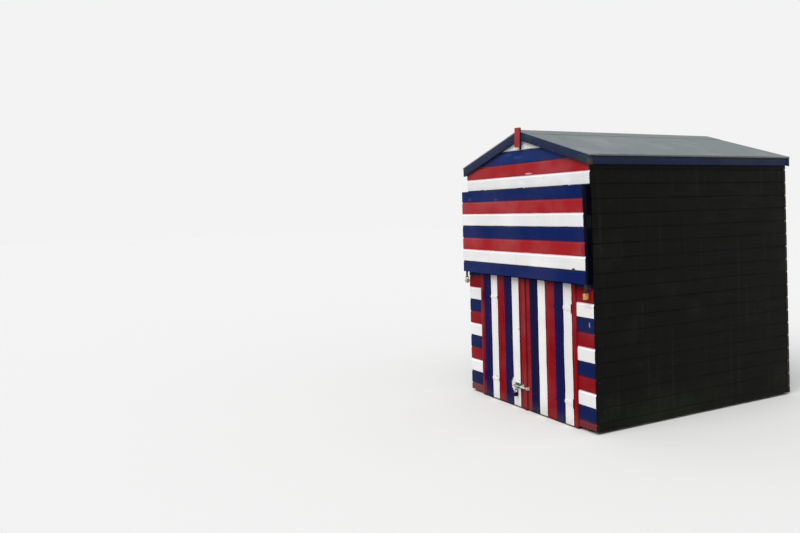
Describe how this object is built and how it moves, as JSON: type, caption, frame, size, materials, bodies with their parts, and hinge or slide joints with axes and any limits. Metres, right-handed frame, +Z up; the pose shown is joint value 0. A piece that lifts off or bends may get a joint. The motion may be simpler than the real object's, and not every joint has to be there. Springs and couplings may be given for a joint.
{
  "type": "beach hut",
  "caption": "Timber beach hut with striped boards, a felted pitched roof, a pair of low doors and a top-hung flap over the upper half of the doorway.",
  "frame": {"origin": "on the ground, on the underside of the middle bearer, at the middle of the footprint", "axes": "+Z up, +X across the front to the right of someone who faces it, the front faces -Y"},
  "size_m": [1.854, 2.501, 2.5519],
  "materials": {
    "striped_boards": "brushed gloss paint in red, white and navy stripes over planed softwood",
    "red_paint": "brushed red gloss paint",
    "navy_paint": "weathered dark navy paint",
    "black_stain": "black wood stain",
    "bare_timber": "planed untreated softwood",
    "bearer_timber": "damp treated timber",
    "mineral_felt": "grey-green mineral felt",
    "painted_hinges": "steel hinges painted over with the stripes",
    "galvanised_steel": "dull galvanised steel",
    "dark_steel": "black painted steel",
    "brass": "tarnished brass"
  },
  "bodies": {
    "root": {"bearers": "bearer_timber", "floor_boards": "bare_timber", "front_sill": "bare_timber", "front_posts": "bare_timber", "front_header": "bare_timber", "front_gable_frame": "bare_timber", "left_frame": "bare_timber", "right_frame": "bare_timber", "back_frame": "bare_timber", "back_gable_frame": "bare_timber", "left_wall_boards": "black_stain", "right_wall_boards": "black_stain", "back_wall_boards": "black_stain", "front_panel_left": "striped_boards", "front_panel_right": "striped_boards", "front_gable_boards": "striped_boards", "post_facings": "red_paint", "ridge_beam_timber": "bare_timber", "purlins": "bare_timber", "roof_boards_left": "bare_timber", "roof_boards_right": "bare_timber", "roof_felt": "mineral_felt", "bargeboards_front": "navy_paint", "bargeboards_back": "navy_paint", "eaves_board_left": "navy_paint", "eaves_board_right": "navy_paint", "finial": "red_paint", "door_hinge_plates": "painted_hinges", "flap_hinge_plates": "painted_hinges", "flap_staples": "dark_steel"},
    "door_left": {"door_left_boards": "striped_boards", "door_left_ledges": "bare_timber", "door_left_cover_strip": "red_paint", "door_left_straps": "painted_hinges", "door_left_bolt": "galvanised_steel", "door_left_padlock": "dark_steel"},
    "door_right": {"door_right_boards": "striped_boards", "door_right_ledges": "bare_timber", "door_right_straps": "painted_hinges", "door_right_keeper": "galvanised_steel"},
    "flap": {"flap_boards": "striped_boards", "flap_frame": "navy_paint", "flap_hinge_leaves": "painted_hinges", "flap_hasps": "dark_steel", "flap_padlocks": "brass"}
  },
  "joints": [
    {"name": "door_left_hinge", "type": "hinge", "parent": "root", "child": "door_left", "pos_m": [-0.646, -1.2155, 0.5925], "axis": [0, 0, -1], "range_deg": [0, 110]},
    {"name": "door_right_hinge", "type": "hinge", "parent": "root", "child": "door_right", "pos_m": [0.646, -1.2155, 0.5925], "axis": [0, 0, 1], "range_deg": [0, 110]},
    {"name": "flap_hinge", "type": "hinge", "parent": "root", "child": "flap", "pos_m": [0, -1.212, 2.006], "axis": [-1, 0, 0], "range_deg": [0, 90]}
  ]
}
